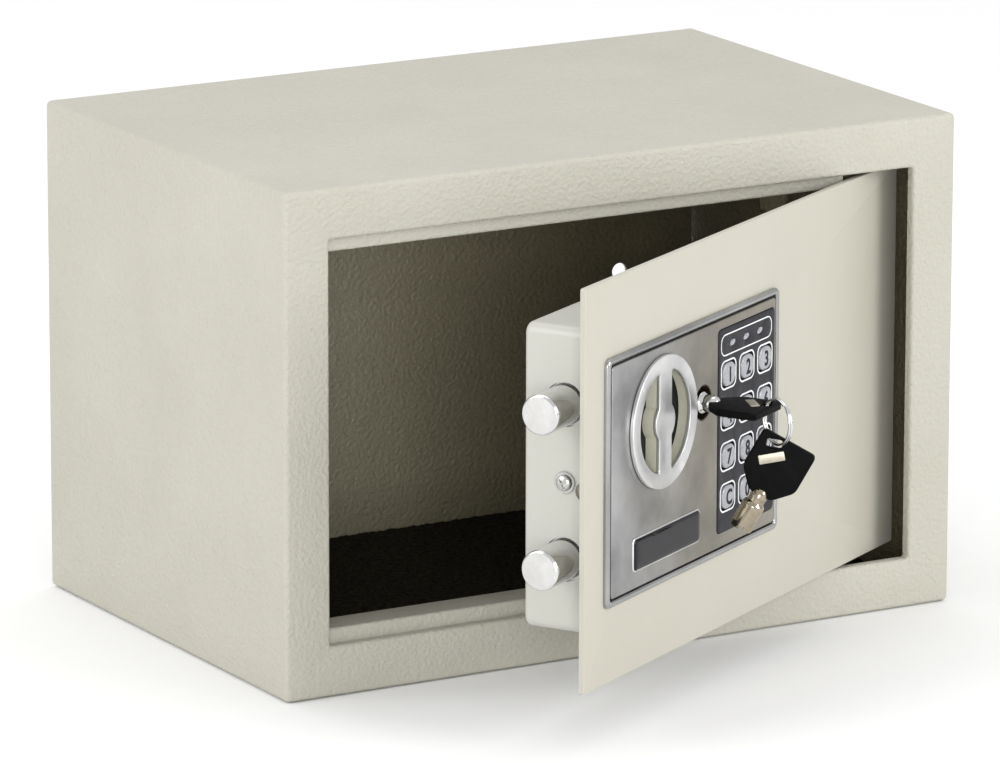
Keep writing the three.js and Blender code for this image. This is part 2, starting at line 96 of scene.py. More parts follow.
def surface(name, dark, light, rough, metal=0.0, drift_scale=60, spread=0.06, bumps=(), stretch=None, coat=0.0, spec=0.5, edge_highlight=0.0):
    """A painted, plated or moulded surface: colour and roughness drift (random tone on most finishes, a painted
    reflection on the silver face and the knob), fine relief, and optionally a painted highlight that makes sharp edges
    paler.
    """
    m, nt, p = nodes_of(name)
    n = noise_tex(nt, drift_scale, 4, 0.6)
    col = ramp(nt, n, 0.3, 0.7, dark, light)
    # painted highlight: sharp convex edges (pointiness) are mixed towards a paler colour
    if edge_highlight:
        g = nt.nodes.new("ShaderNodeNewGeometry")
        e = ramp(nt, g.outputs["Pointiness"], 0.52, 0.60, (0, 0, 0), (edge_highlight, edge_highlight, edge_highlight))
        mx = nt.nodes.new("ShaderNodeMix"); mx.data_type = "RGBA"
        nt.links.new(e, mx.inputs["Factor"])
        nt.links.new(col, mx.inputs["A"])
        mx.inputs["B"].default_value = (*[min(1, c * 1.25 + 0.03) for c in light], 1)
        col = mx.outputs["Result"]
    nt.links.new(col, p.inputs["Base Color"])
    n2 = noise_tex(nt, drift_scale * 3.1, 3, 0.6, stretch)
    nt.links.new(remap(nt, n2, max(0.02, rough - spread), min(1, rough + spread)), p.inputs["Roughness"])
    p.inputs["Metallic"].default_value = metal
    p.inputs["Specular IOR Level"].default_value = spec
    p.inputs["Coat Weight"].default_value = coat
    prev = None
    for scale, strength, dist, st in bumps:
        prev = bump(nt, noise_tex(nt, scale, 1.5, 0.5, st), strength, dist, prev)
    if prev is not None:
        nt.links.new(prev, p.inputs["Normal"])
    return m


COAT = surface("cabinet_coat", (0.420, 0.408, 0.347), (0.450, 0.438, 0.377), 0.50, drift_scale=14, spec=0.35,
               bumps=((560, 0.75, 0.0009, None), (1700, 0.25, 0.0003, None)), edge_highlight=0.0)
# inner walls, brackets and the back's inside face: a separate interior finish that carries painted shade
INNER = surface("cabinet_inner_painted_shade", (0.50, 0.47, 0.35), (0.55, 0.52, 0.39), 0.34, drift_scale=14, spec=0.6,
                bumps=((520, 0.9, 0.0011, None), (1700, 0.3, 0.0003, None)))


def painted_shade_across(m, x0, x1, k1):
    """Paints shade into a finish: darkens it gradually from x0 to x1, in metres, down to k1 of its colour."""
    nt = m.node_tree
    p = nt.nodes["Principled BSDF"]
    src = p.inputs["Base Color"].links[0].from_socket
    tc = nt.nodes.new("ShaderNodeTexCoord"); sx = nt.nodes.new("ShaderNodeSeparateXYZ")
    nt.links.new(tc.outputs["Object"], sx.inputs[0])
    mr = nt.nodes.new("ShaderNodeMapRange"); mr.interpolation_type = "SMOOTHSTEP"
    mr.inputs["From Min"].default_value, mr.inputs["From Max"].default_value = x0, x1
    mr.inputs["To Min"].default_value, mr.inputs["To Max"].default_value = 0.0, 1.0
    nt.links.new(sx.outputs["X"], mr.inputs[0])
    mx = nt.nodes.new("ShaderNodeMix"); mx.data_type = "RGBA"; mx.blend_type = "MULTIPLY"
    nt.links.new(mr.outputs[0], mx.inputs["Factor"])
    nt.links.new(src, mx.inputs["A"])
    mx.inputs["B"].default_value = (k1, k1 * 0.95, k1 * 0.87, 1) if m.name == 'silver_face' else (k1, k1 * 0.93, k1 * 0.78, 1)
    nt.links.new(mx.outputs["Result"], p.inputs["Base Color"])


# painted shade: the interior darkens from the opening's left side towards +X, down to 0.42 of its colour
painted_shade_across(INNER, -0.12, 0.10, 0.42)
SATIN = surface("door_coat", (0.436, 0.420, 0.357), (0.458, 0.442, 0.379), 0.38, drift_scale=10, spec=0.4,
                bumps=((1500, 0.05, 0.0002, None),), edge_highlight=0.0)
CASEM = surface("case_coat", (0.436, 0.430, 0.390), (0.464, 0.459, 0.418), 0.34, drift_scale=10, spec=0.45,
                bumps=((1200, 0.05, 0.0002, None),), edge_highlight=0.0)
CHROME = surface("chrome", (0.60, 0.60, 0.60), (0.74, 0.74, 0.735), 0.13, 1.0, drift_scale=120, spread=0.06,
                 bumps=((2200, 0.03, 0.0001, None), (500, 0.03, 0.0002, None)))
TURNED = surface("turned_chrome", (0.60, 0.595, 0.58), (0.76, 0.755, 0.745), 0.22, 1.0, drift_scale=90, spread=0.08,
                 bumps=((900, 0.10, 0.0001, None),))
BEZEL = surface("bezel_chrome", (0.26, 0.26, 0.26), (0.46, 0.46, 0.455), 0.17, 0.95, drift_scale=14, spread=0.05,
                bumps=((900, 0.03, 0.0001, None),))
ZINC = surface("zinc_steel", (0.44, 0.44, 0.43), (0.60, 0.60, 0.58), 0.34, 1.0, drift_scale=160, spread=0.1,
               bumps=((700, 0.12, 0.0002, None),))
BRASS = surface("brass", (0.28, 0.235, 0.17), (0.44, 0.39, 0.30), 0.12, 1.0, drift_scale=160, spread=0.05,
                bumps=((1600, 0.02, 0.0001, None),))
# silver face: the broad, strong colour drift (0.20 to 0.52) is a painted reflection of the surroundings
SILVER = surface("silver_face", (0.20, 0.20, 0.202), (0.52, 0.52, 0.52), 0.33, 0.80, drift_scale=17, spread=0.07,
                 bumps=((4200, 0.14, 0.00008, None), (1500, 0.06, 0.0001, (1, 1, 0.08))))
# painted shade: the silver face darkens towards the right, down to 0.62 of its colour
painted_shade_across(SILVER, -0.070, 0.004, 0.62)
# knob silver: the broad colour drift is a painted reflection, and the paler edges are a painted highlight
KNOBM = surface("knob_silver", (0.44, 0.44, 0.44), (0.76, 0.76, 0.755), 0.36, 0.85, drift_scale=22, spread=0.07,
                bumps=((3600, 0.08, 0.00008, None),), edge_highlight=0.3)
BEIGE = surface("cup_beige", (0.46, 0.455, 0.36), (0.52, 0.51, 0.41), 0.42, drift_scale=120, bumps=((1400, 0.08, 0.0002, None),))
MEMB = surface("membrane", (0.015, 0.015, 0.019), (0.023, 0.023, 0.029), 0.42, drift_scale=300, spec=0.18, bumps=((3000, 0.10, 0.0001, None),))
# black for the bezel's groove, and used as painted shade on the handle cup's floor
DARK_GROOVE_AND_SHADE = surface("groove_black_and_painted_shade", (0.008, 0.008, 0.008), (0.014, 0.014, 0.014), 0.5, drift_scale=300, spec=0.15)
BUTTON = surface("button_grey", (0.30, 0.305, 0.33), (0.38, 0.385, 0.41), 0.30, 0.25, drift_scale=500, bumps=((2600, 0.06, 0.0001, None),), coat=0.2)
WHITE = surface("ink_white", (0.72, 0.73, 0.74), (0.80, 0.81, 0.82), 0.45, drift_scale=500)
INK = surface("ink_dark", (0.012, 0.012, 0.016), (0.02, 0.02, 0.026), 0.5, drift_scale=500, spec=0.15)
LAMP = surface("lamp", (0.22, 0.23, 0.26), (0.34, 0.35, 0.39), 0.18, drift_scale=500, coat=0.5)
GLOSS = surface("black_gloss", (0.008, 0.008, 0.010), (0.014, 0.014, 0.017), 0.08, drift_scale=200, coat=0.0, spec=0.22, spread=0.03)
# key black: the faintly paler edges are a painted highlight
KEYBLK = surface("key_black", (0.003, 0.003, 0.003), (0.006, 0.006, 0.006), 0.5, drift_scale=250, spread=0.08, spec=0.04,
                 bumps=((2400, 0.12, 0.0001, None),), edge_highlight=0.05)
TAG = surface("key_tag", (0.42, 0.38, 0.30), (0.55, 0.51, 0.43), 0.36, 0.85, drift_scale=400, bumps=((2200, 0.2, 0.0001, (1, 1, 6)),))
FELT = surface("felt", (0.006, 0.005, 0.004), (0.055, 0.046, 0.033), 0.95, drift_scale=520, spec=0.15,
               bumps=((1400, 0.9, 0.0008, None), (3300, 0.6, 0.0004, None)))
LOCKM = surface("lock_brown", (0.030, 0.018, 0.010), (0.055, 0.035, 0.020), 0.38, 0.6, drift_scale=300, bumps=((1800, 0.2, 0.0001, None),))
RED = surface("reset_red", (0.35, 0.02, 0.015), (0.45, 0.03, 0.02), 0.3, drift_scale=300)
BOARD = surface("board", (0.012, 0.085, 0.03), (0.02, 0.12, 0.045), 0.4, drift_scale=300, bumps=((900, 0.2, 0.0002, None),))
CELL = surface("cell", (0.30, 0.10, 0.03), (0.42, 0.15, 0.05), 0.3, drift_scale=60, bumps=((600, 0.05, 0.0002, None),))
TRAY = surface("tray_black", (0.012, 0.012, 0.012), (0.022, 0.022, 0.022), 0.5, drift_scale=300, bumps=((1500, 0.1, 0.0002, None),))

# ------------------------------------------------------------------ mesh tools
def finish_mesh(name, bm, mats, body, matrix, nodes=(), angle=32, bevel=0.0, segs=2, limit=40, weld=1e-5):
    bmesh.ops.remove_doubles(bm, verts=bm.verts, dist=weld)
    bmesh.ops.recalc_face_normals(bm, faces=bm.faces)
    me = bpy.data.meshes.new(name)
    bm.to_mesh(me); bm.free()
    for m in (mats if isinstance(mats, (list, tuple)) else [mats]):
        me.materials.append(m)
    o = bpy.data.objects.new(name, me)
    bpy.context.scene.collection.objects.link(o)
    if bevel:
        md = o.modifiers.new("edge", "BEVEL")
        md.width, md.segments, md.limit_method, md.angle_limit = bevel, segs, "ANGLE", math.radians(limit)
        md.use_clamp_overlap = True
        dg = bpy.context.evaluated_depsgraph_get()
        new = bpy.data.meshes.new_from_object(o.evaluated_get(dg))
        o.modifiers.clear()
        o.data = new
        bpy.data.meshes.remove(me)
        me = new
    me.transform(Matrix.Scale(MM, 4) @ matrix)
    me.shade_smooth()
    me.set_sharp_from_angle(angle=math.radians(angle))
    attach(o, body)
    if nodes:
        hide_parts(*nodes)
    return o


def rrect(x0, x1, y0, y1, r, n=6):
    pts = []
    for cx, cy, a0 in ((x1 - r, y0 + r, -90), (x1 - r, y1 - r, 0), (x0 + r, y1 - r, 90), (x0 + r, y0 + r, 180)):
        for i in range(n + 1):
            a = math.radians(a0 + 90 * i / n)
            pts.append((cx + r * math.cos(a), cy + r * math.sin(a)))
    return pts


def circle(cx, cy, r, n=48):
    return [(cx + r * math.cos(2 * math.pi * i / n), cy + r * math.sin(2 * math.pi * i / n)) for i in range(n)]


def area(p):
    return sum(p[i - 1][0] * p[i][1] - p[i][0] * p[i - 1][1] for i in range(len(p))) / 2


def inset(pts, d):
    """Moves a closed outline inwards by d (outwards if negative), keeping its number of points."""
    s = 1 if area(pts) > 0 else -1
    out, n = [], len(pts)
    for i in range(n):
        a, b, c = Vector(pts[i - 1]), Vector(pts[i]), Vector(pts[(i + 1) % n])
        e1, e2 = (b - a).normalized(), (c - b).normalized()
        n1, n2 = Vector((-e1.y, e1.x)) * s, Vector((-e2.y, e2.x)) * s
        m = (n1 + n2)
        if m.length < 1e-6:
            m = n1
        m.normalize()
        k = d / max(0.35, m.dot(n1))
        out.append(tuple(b + m * k))
    return out


def fill_loops(bm, loops, w, mat=0):
    """Fills an outer outline with holes at height w; returns the vertex rings."""
    rings, edges = [], []
    for lp in loops:
        vs = [bm.verts.new((x, y, w)) for x, y in lp]
        rings.append(vs)
        edges += [bm.edges.new((vs[i - 1], vs[i])) for i in range(len(vs))]
    res = bmesh.ops.triangle_fill(bm, use_beauty=True, use_dissolve=False, edges=edges)
    for f in res["geom"]:
        if isinstance(f, bmesh.types.BMFace):
            f.material_index = mat
    return rings


def flat(bm, loops, w0, w1, bev=0.3, segs=3, top_mat=0, side_mat=0, crown=0.0):
    """A plate from w0 to w1 (w1 outermost) with its front edges rounded by bev, hole edges included."""
    outer = loops[0] if area(loops[0]) > 0 else loops[0][::-1]
    holes = [h if area(h) > 0 else h[::-1] for h in loops[1:]]
    steps = [(0.0, w0)] + [(bev * (1 - math.cos(math.pi / 2 * i / segs)), w1 - bev + bev * math.sin(math.pi / 2 * i / segs)) for i in range(segs + 1)]
    allrings = []
    for k, lp in enumerate([outer] + holes):
        rings = []
        for d, w in steps:
            q = inset(lp, d if k == 0 else -d)
            rings.append([bm.verts.new((x, y, w)) for x, y in q])
        for a, b in zip(rings, rings[1:]):
            for i in range(len(a)):
                f = bm.faces.new((a[i - 1], a[i], b[i], b[i - 1]))
                f.material_index = side_mat
        allrings.append(rings)
    for idx, mat in ((0, side_mat), (-1, top_mat)):
        edges = []
        for rings in allrings:
            vs = rings[idx]
            for i in range(len(vs)):
                e = bm.edges.get((vs[i - 1], vs[i]))
                edges.append(e)
        res = bmesh.ops.triangle_fill(bm, use_beauty=True, use_dissolve=False, edges=edges)
        for f in res["geom"]:
            if isinstance(f, bmesh.types.BMFace):
                f.material_index = mat
    return allrings


def lathe(bm, prof, cx=0.0, cy=0.0, n=64, mats=None):
    """Turns a profile of (radius, w) pairs about the line through (cx, cy); closed on the axis where radius is 0."""
    rings = []
    for r, w in prof:
        if r < 1e-6:
            rings.append([bm.verts.new((cx, cy, w))])
        else:
            rings.append([bm.verts.new((cx + r * math.cos(2 * math.pi * i / n), cy + r * math.sin(2 * math.pi * i / n), w)) for i in range(n)])
    for k, (a, b) in enumerate(zip(rings, rings[1:])):
        for i in range(n):
            if len(a) == 1 and len(b) == 1:
                continue
            if len(a) == 1:
                f = bm.faces.new((a[0], b[i], b[i - 1]))
            elif len(b) == 1:
                f = bm.faces.new((a[i - 1], a[i], b[0]))
            else:
                f = bm.faces.new((a[i - 1], a[i], b[i], b[i - 1]))
            if mats:
                f.material_index = mats[k]


def skin(bm, rings, close=False, mats=None):
    vr = [[bm.verts.new(p) for p in r] for r in rings]
    pairs = list(zip(vr, vr[1:])) + ([(vr[-1], vr[0])] if close else [])
    for k, (a, b) in enumerate(pairs):
        for i in range(len(a)):
            f = bm.faces.new((a[i - 1], a[i], b[i], b[i - 1]))
            if mats:
                f.material_index = mats[k]
    return vr


def block(bm, x0, x1, y0, y1, z0, z1):
    vs = [bm.verts.new((x, y, z)) for z in (z0, z1) for y in (y0, y1) for x in (x0, x1)]
    for q in ((0, 1, 3, 2), (4, 5, 7, 6), (0, 1, 5, 4), (2, 3, 7, 6), (0, 2, 6, 4), (1, 3, 7, 5)):
        bm.faces.new([vs[i] for i in q])


def new():
    return bmesh.new()


def xform(bm, m, since=0):
    for v in list(bm.verts)[since:]:
        v.co = m @ v.co


ALONG_X = Matrix(((0, 0, 1, 0), (1, 0, 0, 0), (0, 1, 0, 0), (0, 0, 0, 1)))    # (a, b, w) -> (w, a, b)
ALONG_MX = Matrix(((0, 0, -1, 0), (-1, 0, 0, 0), (0, 1, 0, 0), (0, 0, 0, 1)))  # (a, b, w) -> (-w, -a, b)

# ------------------------------------------------------------------ cabinet
W, D, H = 310.0, 203.0, 205.0
OX, OZ0, OZ1 = 135.0, 20.5, 184.5


def frame_ring(tx, tz, y, r, n=6):
    return [(x, y, z) for x, z in rrect(-W / 2 + tx, W / 2 - tx, tz, H - tz, max(r, 0.25), n)]


def shell():
    bm = new()
    T, RB = 1.5, 1.9
    prof, mats = [], []
    def add(tx, tz, y, r, m):
        prof.append((tx, tz, y, r)); mats.append(m)
    add(0, 0, D, 2.2, 0)
    add(0, 0, D - 1, 2.2, 0)
    add(0, 0, RB, 2.2, 0)
    for i in range(1, 6):                                   # outer fold of the front edge
        a = math.pi / 2 * i / 5
        t = RB * (1 - math.cos(a)); add(t, t, RB * (1 - math.sin(a)), max(0.3, 2.2 - t * 0.8), 0)
    ex, ez = W / 2 - OX, OZ0                                 # inner edge of the frame
    r1 = 1.4
    add(ex - r1, ez - r1, 0, 1.9, 0)
    for i in range(1, 5):                                   # fold into the opening
        a = math.pi / 2 * i / 4
        add(ex - r1 + r1 * math.sin(a), ez - r1 + r1 * math.sin(a), r1 * (1 - math.cos(a)), 1.2, 0)
    add(ex, ez, 4.1, 1.0, 0)
    add(ex - 0.2, ez - 0.2, 4.3, 1.0, 0)
    add(ex - T + 0.2, ez - T + 0.2, 4.3, 1.6, 1)
    add(ex - T, ez - T, 4.1, 1.6, 1)
    add(ex - T, ez - T, T, 1.6, 1)
    add(T, T, T, 1.2, 1)
    add(T, T, T + 0.5, 1.2, 1)
    add(T, T, D - 1, 1.2, 1)
    add(T, T, D, 1.2, 0)
    skin(bm, [frame_ring(*p) for p in prof], close=True, mats=mats)
    return finish_mesh("cabinet_skin", bm, [COAT, INNER], "cabinet", CAB, ("body_shell", "front_frame"), angle=40)


shell()


def stop_flange(name, z_edge, sgn, x0, x1):
    # down-turned stop behind the frame and its return
    bm = new()
    y0, t, h, back, r = 4.6, 1.5, 6.0, 19.0, 1.2
    out = [(y0, 1.4), (y0, -h + r)]
    for i in range(1, 5):
        a = math.pi / 2 * i / 4
        out.append((y0 + r * (1 - math.cos(a)), -h + r * (1 - math.sin(a))))
    out += [(back - 0.2, -h), (back, -h + 0.2), (back, -h + t - 0.2), (back - 0.2, -h + t), (y0 + t + 0.3, -h + t), (y0 + t, -h + t + 0.3), (y0 + t, 1.4)]
    rings = [[(x, y, z_edge + sgn * z) for y, z in out] for x in (x0, x0 + 0.25, x1 - 0.25, x1)]
    vr = skin(bm, rings)
    bm.faces.new(vr[0]); bm.faces.new(vr[-1])
    return finish_mesh(name, bm, COAT, "cabinet", CAB, (), angle=35)


stop_flange("stop_top", OZ1, 1, -134.95, 104)
stop_flange("stop_bottom", OZ0, -1, -134.95, 104)

bm = new()
back_loops = [rrect(-W / 2 + 1.8, W / 2 - 1.8, 1.8, H - 1.8, 0.9, 4), circle(-117, 103, 3.5, 40), circle(117, 103, 3.5, 40)]
flat(bm, back_loops, 0, 1.5, bev=0.35, segs=3, top_mat=1, side_mat=0)
xform(bm, Matrix.Translation((0, D - 0.3, 0)) @ FACE)
finish_mesh("cabinet_back", bm, [COAT, INNER], "cabinet", CAB, ("rear_panel",))


def mat_piece():
    bm = new()
    nx, ny = 300, 160
    x0, x1, y0, y1, zb, zt = -151.0, 151.0, 40.0, 200.0, 1.85, 4.2
    grid = []
    for j in range(ny + 1):
        row = []
        for i in range(nx + 1):
            x, y = x0 + (x1 - x0) * i / nx, y0 + (y1 - y0) * j / ny
            e = min(i, nx - i, j, ny - j)
            h = noise.noise(Vector((x * 0.55, y * 0.55, 3.0))) * 0.45 + noise.noise(Vector((x * 1.6, y * 1.6, 9.0))) * 0.35 + noise.noise(Vector((x * 0.03, y * 0.03, 1.0))) * 0.3
            row.append(bm.verts.new((x + 0.15 * noise.noise(Vector((x, y, 5.0))), y, zt + h - (1.1 if e == 0 else 0))))
        grid.append(row)
    for j in range(ny):
        for i in range(nx):
            bm.faces.new((grid[j][i], grid[j][i + 1], grid[j + 1][i + 1], grid[j + 1][i]))
    rim = [grid[0][i] for i in range(nx + 1)] + [grid[j][nx] for j in range(1, ny + 1)] + [grid[ny][i] for i in range(nx - 1, -1, -1)] + [grid[j][0] for j in range(ny - 1, 0, -1)]
    low = [bm.verts.new((v.co.x, v.co.y, zb)) for v in rim]
    for i in range(len(rim)):
        bm.faces.new((rim[i - 1], rim[i], low[i], low[i - 1]))
    bm.faces.new(low)
    return finish_mesh("carpet_mat", bm, FELT, "cabinet", CAB, ("floor_mat",), angle=70)


mat_piece()


def bracket(name, node, top):
    bm = new()
    zf = (lambda z: z) if top else (lambda z: H - z)
    def bx(x0, x1, y0, y1, z0, z1):
        a, b = zf(z0), zf(z1)
        block(bm, x0, x1, y0, y1, min(a, b), max(a, b))
    # one folded strip: eye, upright and foot
    prof = [(86, 203.2), (66, 203.2), (66, 201.2), (84.6, 201.2), (86, 199.8), (86, 165.5), (87, 164.5), (108, 164.5), (108, 166.5), (89.4, 166.5), (88, 167.9), (88, 201.2)]
    holes_y = (21.0, 39.0)
    a = [bm.verts.new((x, holes_y[0], zf(z))) for x, z in prof]
    b = [bm.verts.new((x, holes_y[1], zf(z))) for x, z in prof]
    for i in range(len(prof)):
        bm.faces.new((a[i - 1], a[i], b[i], b[i - 1]))
    bm.faces.new(a); bm.faces.new(b)
    return finish_mesh(name, bm, INNER, "cabinet", CAB, (node,), bevel=0.35, segs=2)


bracket("bracket_upper", "hinge_bracket_top", True)
bracket("bracket_lower", "hinge_bracket_bottom", False)


def pin(name, node, top):
    bm = new()
    prof = [(0, 158.5), (2.6, 158.5), (3.0, 158.9), (3.0, 166.8), (4.2, 166.8), (4.5, 167.1), (4.5, 168.3), (3.8, 168.8), (0, 168.9)]
    if not top:
        prof = [(r, H - z) for r, z in prof]
    lathe(bm, prof, HX, HY, 36)
    return finish_mesh(name, bm, ZINC, "cabinet", CAB, (node,), angle=30)


pin("pin_upper", "hinge_pin_top", True)
pin("pin_lower", "hinge_pin_bottom", False)

# ------------------------------------------------------------------ door
KX, KZ, LX, LZ = -74.3, 118.4, -40.0, 118.4
bm = new()
flat(bm, [rrect(-133.3, 131.5, 22.5, 182.5, 0.9, 4), circle(KX, KZ, 24, 64), circle(LX, LZ, 7.5, 32), rrect(-26, 18.5, 64, 143, 1.5, 4)], -2.4, 0, bev=0.55, segs=4)
xform(bm, FACE)
n0 = len(bm.verts)
block(bm, -119.9, -118.2, 2.2, 21, 96, 109)
finish_mesh("door_skin", bm, SATIN, "door", DOOR, ("door_plate",), angle=35)


def case_ring(t, y, r):
    return [(x, y, z) for x, z in rrect(-121.5 + t, 84 - t, 42.5 + t, 163.5 - t, r, 7)]


def case():
    bm = new()
    y0, y1, R, T = 2.7, 33.5, 2.6, 1.2
    rings = [case_ring(0, y0, 4.2), case_ring(0, y1 - R, 4.2)]
    for i in range(1, 7):
        a = math.pi / 2 * i / 6
        rings.append(case_ring(R * (1 - math.cos(a)), y1 - R * (1 - math.sin(a)), 4.2 - R * (1 - math.cos(a)) * 0.8))
    vr = skin(bm, rings)
    inner = [case_ring(T, y0, 3.0), case_ring(T, y1 - R, 3.0)]
    for i in range(1, 4):
        a = math.pi / 2 * i / 3
        t = T + (R - T) * (1 - math.cos(a))
        inner.append(case_ring(t, y1 - T - (R - T) * (1 - math.sin(a)), max(0.8, 3.0 - (t - T) * 0.8)))
    vi = skin(bm, inner)
    for i in range(len(vr[0])):
        bm.faces.new((vr[0][i - 1], vr[0][i], vi[0][i], vi[0][i - 1]))
    bm.faces.new(vr[-1]); bm.faces.new(vi[-1])
    bmesh.ops.recalc_face_normals(bm, faces=bm.faces)
    o = finish_mesh("door_case_skin", bm, CASEM, "door", DOOR, ("door_case",), angle=35)
    cuts = []
    for y, z, r in ((15.5, 133.2, 8.8), (15.5, 71.8, 8.8), (15, 102.5, 2.3), (6.8, 99.5, 3.9)):
        cb = new(); lathe(cb, [(0, -6), (r, -6), (r, 6), (0, 6)], 0, 0, 48)
        xform(cb, Matrix.Translation((-121.5, y, z)) @ ALONG_X)
        cuts.append(cb)
    cb = new(); lathe(cb, [(0, -6), (3.1, -6), (3.1, 6), (0, 6)], 0, 0, 32)
    xform(cb, Matrix.Translation((74, 33, 150)) @ FACE); cuts.append(cb)
    cb = new(); pts = rrect(8, 66, 70, 135, 2, 4)
    vr = skin(cb, [[(x, 28, z) for x, z in pts], [(x, 40, z) for x, z in pts]]); cb.faces.new(vr[0]); cb.faces.new(vr[1]); cuts.append(cb)
    for k, cb in enumerate(cuts):
        bmesh.ops.recalc_face_normals(cb, faces=cb.faces)
        me = bpy.data.meshes.new("cut"); cb.to_mesh(me); cb.free()
        me.transform(Matrix.Scale(MM, 4) @ DOOR)
        c = bpy.data.objects.new("cut", me); bpy.context.scene.collection.objects.link(c)
        md = o.modifiers.new("cut", "BOOLEAN"); md.operation, md.object, md.solver = "DIFFERENCE", c, "EXACT"
        new_me = bpy.data.meshes.new_from_object(o.evaluated_get(bpy.context.evaluated_depsgraph_get()))
        o.modifiers.clear(); o.data = new_me
        bpy.data.objects.remove(c); bpy.data.meshes.remove(me)
    o.data.shade_smooth(); o.data.set_sharp_from_angle(angle=math.radians(32))
    return o


case()


def ear(name, node, top):
    bm = new()
    zf = (lambda z: z) if top else (lambda z: H - z)
    prof = [(2.7, 138), (4.7, 138), (4.7, 158.6), (6.1, 160), (30, 160), (34, 160), (34, 163), (4.2, 163), (2.7, 161.5)]
    a = [bm.verts.new((88, y, zf(z))) for y, z in prof]; b = [bm.verts.new((108, y, zf(z))) for y, z in prof]
    for i in range(len(prof)):
        bm.faces.new((a[i - 1], a[i], b[i], b[i - 1]))
    bm.faces.new(a); bm.faces.new(b)
    return finish_mesh(name, bm, SATIN, "door", DOOR, (node,), bevel=0.4, segs=2)


ear("ear_upper", "hinge_ear_top", True)
ear("ear_lower", "hinge_ear_bottom", False)

# ---- bolts
def bolt(name, node, z):
    bm = new()
    R = 8.0
    prof = [(0, 0.12), (6.3, 0.0), (6.9, 0.05)]
    for i in range(0, 6):
        a = math.pi / 2 * i / 5
        prof.append((6.95 + 1.05 * math.sin(a), 1.05 * (1 - math.cos(a)) + 0.05))
    prof += [(R, 26), (R, 29.3), (R - 0.2, 29.5), (0, 29.5)]
    mats = [1, 1] + [0] * (len(prof) - 3)
    lathe(bm, prof, 0, 0, 72, mats)
    xform(bm, Matrix.Translation((-141.5, 15.5, z)) @ ALONG_X)
    finish_mesh(name, bm, [CHROME, TURNED], "bolt_work", DOOR, (node,), angle=30)


bolt("bolt_upper_skin", "upper_bolt", 133.2)
bolt("bolt_lower_skin", "lower_bolt", 71.8)
# guide sheet just inside the case: dark rim round each bolt
for k, z in enumerate((133.2, 71.8)):
    bm = new()
    lathe(bm, [(8.15, 0.0), (12, 0.0), (12, 1.2), (8.15, 1.2), (8.15, 0.0)], 0, 0, 64)
    xform(bm, Matrix.Translation((-119.9, 15.5, z)) @ ALONG_X)
    finish_mesh(f"bolt_guide_{k + 1}", bm, ZINC, "door", DOOR, ())

# ---- screw and washer
bm = new()
lathe(bm, [(2.4, 0.15), (2.55, 0), (4.15, 0), (4.3, 0.15), (4.3, 0.7), (4.15, 0.85), (2.55, 0.85), (2.4, 0.7), (2.4, 0.15)], 0, 0, 48)
xform(bm, Matrix.Translation((-121.65, 15, 102.5)) @ ALONG_MX)
finish_mesh("washer_skin", bm, ZINC, "door", DOOR, ("case_washer",))
bm = new()
prof = [(0, -9.4), (1.4, -9.4), (1.7, -9.1), (1.7, 0.6), (3.1, 0.6), (3.2, 0.9)] + [(3.2 * math.cos(a), 0.9 + 1.35 * math.sin(a)) for a in [math.radians(d) for d in (15, 30, 45, 60, 75)]] + [(0, 2.25)]
lathe(bm, prof, 0, 0, 48)
xform(bm, Matrix.Translation((-122.3, 15, 102.5)) @ ALONG_MX)
scr = finish_mesh("screw_skin", bm, ZINC, "door", DOOR, ("case_screw",))
cb = new()
block(cb, -0.45, 0.45, -2.0, 2.0, 1.0, 4.0); block(cb, -2.0, 2.0, -0.4, 0.4, 0.9, 4.1)
xform(cb, Matrix.Translation((-122.3, 15, 102.5)) @ ALONG_MX @ Matrix.Rotation(0.5, 4, "Z"))
bmesh.ops.recalc_face_normals(cb, faces=cb.faces)
cme = bpy.data.meshes.new("cut"); cb.to_mesh(cme); cb.free(); cme.transform(Matrix.Scale(MM, 4) @ DOOR)
co = bpy.data.objects.new("cut", cme); bpy.context.scene.collection.objects.link(co)
md = scr.modifiers.new("cut", "BOOLEAN"); md.operation, md.object, md.solver, md.use_self = "DIFFERENCE", co, "EXACT", True
nm = bpy.data.meshes.new_from_object(scr.evaluated_get(bpy.context.evaluated_depsgraph_get())); scr.modifiers.clear(); scr.data = nm
bpy.data.objects.remove(co)
scr.data.shade_smooth(); scr.data.set_sharp_from_angle(angle=math.radians(32))

# ---- panel
PX0, PX1, PZ0, PZ1 = -47 - 71.5, -47 + 71.5, 102.4 - 49.5, 102.4 + 49.5


def ring_plate(bm, x0, x1, z0, z1, prof, n=8):
    """Sweeps (inset, w, radius) round a rounded rectangle."""
    rings = [[(x, z, w) for x, z in rrect(x0 + t, x1 - t, z0 + t, z1 - t, max(0.3, r), n)] for t, w, r in prof]
    return skin(bm, rings, close=True)


bm = new()
ring_plate(bm, PX0, PX1, PZ0, PZ1, [(0, 0.02, 3.0), (0, 1.1, 3.0), (0.15, 1.45, 2.9), (0.5, 1.75, 2.6), (0.9, 1.95, 2.3), (1.4, 2.05, 2.0), (1.9, 1.98, 1.7), (2.35, 1.75, 1.5), (2.6, 1.4, 1.4), (2.7, 0.9, 1.3), (2.7, 0.02, 1.3)])
xform(bm, FACE)
finish_mesh("bezel_skin", bm, BEZEL, "door", DOOR, ("panel_bezel",), angle=50)
bm = new()
ring_plate(bm, PX0 + 2.6, PX1 - 2.6, PZ0 + 2.6, PZ1 - 2.6, [(0, 0.05, 1.4), (0, 0.6, 1.4), (1.2, 0.6, 1.0), (1.2, 0.05, 1.0)])
xform(bm, FACE)
finish_mesh("bezel_groove", bm, DARK_GROOVE_AND_SHADE, "door", DOOR, ())
bm = new()
